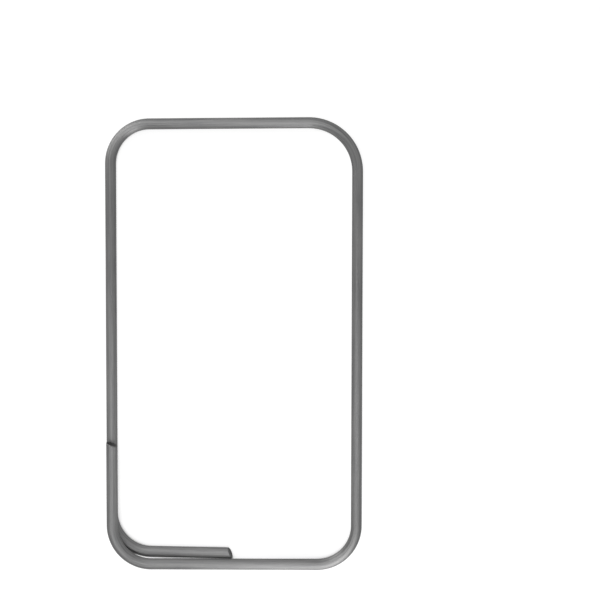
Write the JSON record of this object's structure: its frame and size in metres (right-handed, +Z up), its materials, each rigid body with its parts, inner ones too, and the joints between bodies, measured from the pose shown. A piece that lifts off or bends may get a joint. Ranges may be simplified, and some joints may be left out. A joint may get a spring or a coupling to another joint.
{
  "type": "rebar stirrup",
  "caption": "Closed rectangular stirrup bent from plain round bar, with overlapping right-angle hooks at a corner, that ties the main bars of a concrete beam or column.",
  "frame": {"origin": "on the floor under the middle of the loop", "axes": "+Y along the loop's height, away from the hooks; +X across its width, away from the hooks; +Z up, off the floor that the loop lies on"},
  "size_m": [0.24, 0.42, 0.0202],
  "materials": {
    "bar": "satin grey drawn steel with faint streaks along the bar"
  },
  "bodies": {
    "root": {"stirrup": "bar"}
  },
  "joints": []
}
